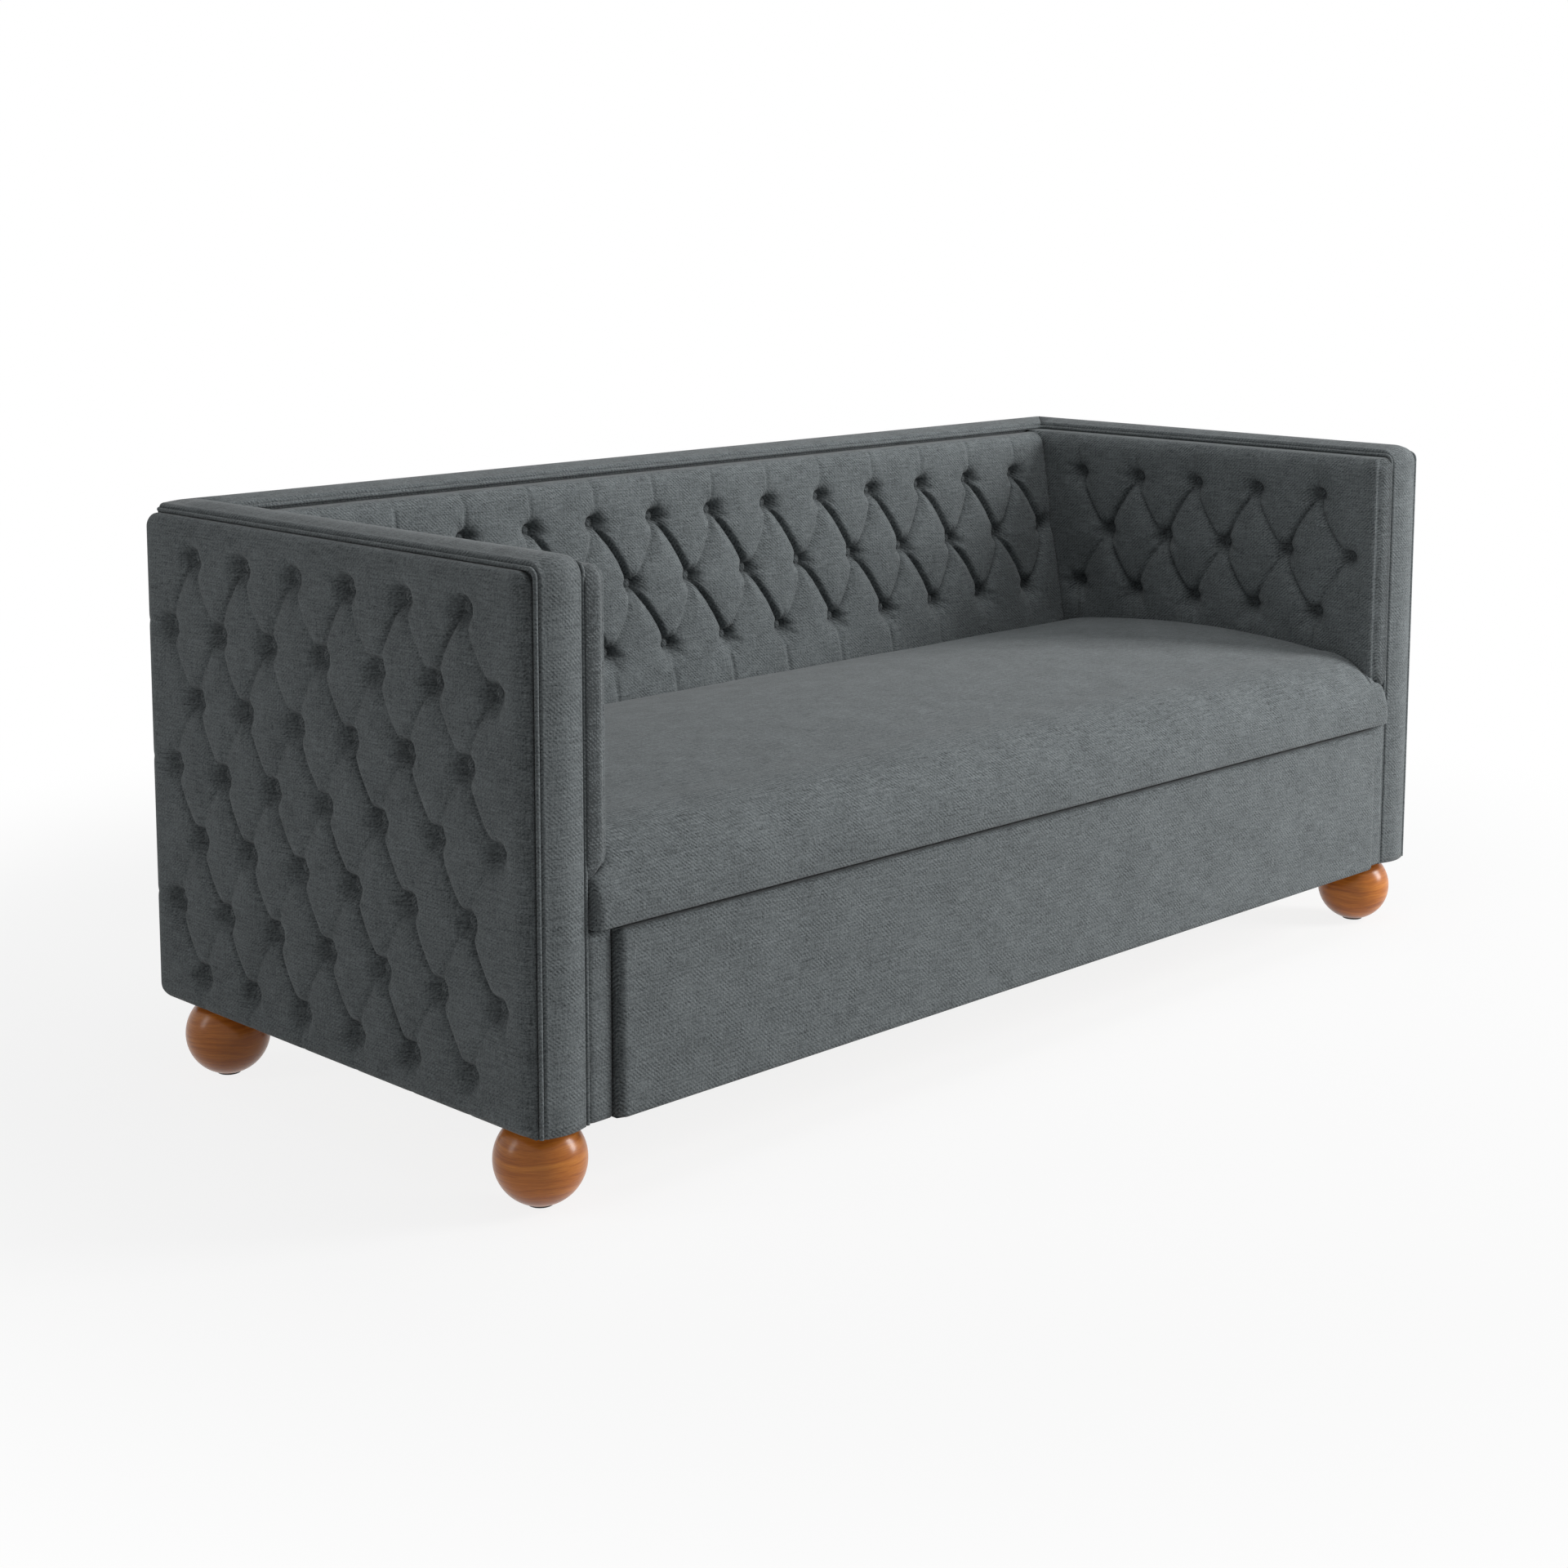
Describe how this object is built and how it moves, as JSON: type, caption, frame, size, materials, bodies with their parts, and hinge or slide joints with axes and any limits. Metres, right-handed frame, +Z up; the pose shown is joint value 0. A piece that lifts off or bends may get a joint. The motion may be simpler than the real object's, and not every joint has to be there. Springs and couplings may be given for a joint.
{
  "type": "tufted daybed with pull-out trundle",
  "caption": "Box-armed daybed with diamond-tufted arms, back and ends, tight crowned seat, ball feet and a pull-out trundle on castors.",
  "frame": {"origin": "on the floor under the middle of the daybed", "axes": "+X along the seat to the right arm as seen from the front, -Y to the front, +Z up"},
  "size_m": [2.052, 0.892, 0.86],
  "materials": {
    "upholstery": "matt slate grey woven cloth",
    "turned_wood": "glossy orange-brown lacquer",
    "frame_timber": "bare softwood",
    "frame_board": "bare plywood",
    "steel": "zinc plated",
    "castor_wheel": "black nylon",
    "glide": "dark nylon",
    "ticking": "pale mattress ticking"
  },
  "bodies": {
    "frame": {"seat_cushion": "upholstery", "left_stile": "upholstery", "right_stile": "upholstery", "left_arm_band": "upholstery", "right_arm_band": "upholstery", "back_band": "upholstery", "left_end_pad": "upholstery", "right_end_pad": "upholstery", "left_arm_pad": "upholstery", "right_arm_pad": "upholstery", "back_pad": "upholstery", "rear_cover": "upholstery", "outer_welt": "upholstery", "inner_welt": "upholstery", "left_end_buttons": "upholstery", "right_end_buttons": "upholstery", "left_arm_buttons": "upholstery", "right_arm_buttons": "upholstery", "back_buttons": "upholstery", "front_left_foot": "turned_wood", "rear_left_foot": "turned_wood", "front_right_foot": "turned_wood", "rear_right_foot": "turned_wood", "arm_soles": "frame_timber", "left_arm_posts": "frame_timber", "right_arm_posts": "frame_timber", "left_arm_rails": "frame_timber", "right_arm_rails": "frame_timber", "back_posts": "frame_timber", "back_rails": "frame_timber", "seat_cleats": "frame_timber", "seat_rails": "frame_timber", "seat_slats": "frame_timber", "arm_outer_boards": "frame_board", "arm_inner_boards": "frame_board", "back_inner_board": "frame_board", "back_outer_board": "frame_board", "foot_bolts": "steel", "tee_nuts": "steel", "corner_bolts": "steel", "barrel_nuts": "steel", "seat_screws": "steel", "foot_glides": "glide"},
    "trundle": {"trundle_front_cover": "upholstery", "trundle_front_board": "frame_board", "trundle_left_side": "frame_board", "trundle_right_side": "frame_board", "trundle_rear_board": "frame_board", "trundle_bearers": "frame_timber", "trundle_slats": "frame_timber", "trundle_mattress": "ticking", "castor_brackets": "steel", "castor_axles": "steel"},
    "front_left_wheel": {"front_left_wheel": "castor_wheel"},
    "front_middle_wheel": {"front_middle_wheel": "castor_wheel"},
    "front_right_wheel": {"front_right_wheel": "castor_wheel"},
    "rear_left_wheel": {"rear_left_wheel": "castor_wheel"},
    "rear_middle_wheel": {"rear_middle_wheel": "castor_wheel"},
    "rear_right_wheel": {"rear_right_wheel": "castor_wheel"}
  },
  "joints": [
    {"name": "trundle_slide", "type": "slide", "parent": "frame", "child": "trundle", "axis": [0, -1, 0], "range_m": [0, 0.62]},
    {"name": "front_left_wheel_roll", "type": "hinge", "parent": "trundle", "child": "front_left_wheel", "pos_m": [-0.75, -0.17, 0.0375], "axis": [1, 0, 0], "continuous": true},
    {"name": "front_middle_wheel_roll", "type": "hinge", "parent": "trundle", "child": "front_middle_wheel", "pos_m": [0, -0.17, 0.0375], "axis": [1, 0, 0], "continuous": true},
    {"name": "front_right_wheel_roll", "type": "hinge", "parent": "trundle", "child": "front_right_wheel", "pos_m": [0.75, -0.17, 0.0375], "axis": [1, 0, 0], "continuous": true},
    {"name": "rear_left_wheel_roll", "type": "hinge", "parent": "trundle", "child": "rear_left_wheel", "pos_m": [-0.75, 0.261, 0.0375], "axis": [1, 0, 0], "continuous": true},
    {"name": "rear_middle_wheel_roll", "type": "hinge", "parent": "trundle", "child": "rear_middle_wheel", "pos_m": [0, 0.261, 0.0375], "axis": [1, 0, 0], "continuous": true},
    {"name": "rear_right_wheel_roll", "type": "hinge", "parent": "trundle", "child": "rear_right_wheel", "pos_m": [0.75, 0.261, 0.0375], "axis": [1, 0, 0], "continuous": true}
  ],
  "couplings": [
    {"joint": "front_left_wheel_roll", "follows": "trundle_slide", "rad_per_m": 26.667},
    {"joint": "front_middle_wheel_roll", "follows": "trundle_slide", "rad_per_m": 26.667},
    {"joint": "front_right_wheel_roll", "follows": "trundle_slide", "rad_per_m": 26.667},
    {"joint": "rear_left_wheel_roll", "follows": "trundle_slide", "rad_per_m": 26.667},
    {"joint": "rear_middle_wheel_roll", "follows": "trundle_slide", "rad_per_m": 26.667},
    {"joint": "rear_right_wheel_roll", "follows": "trundle_slide", "rad_per_m": 26.667}
  ]
}
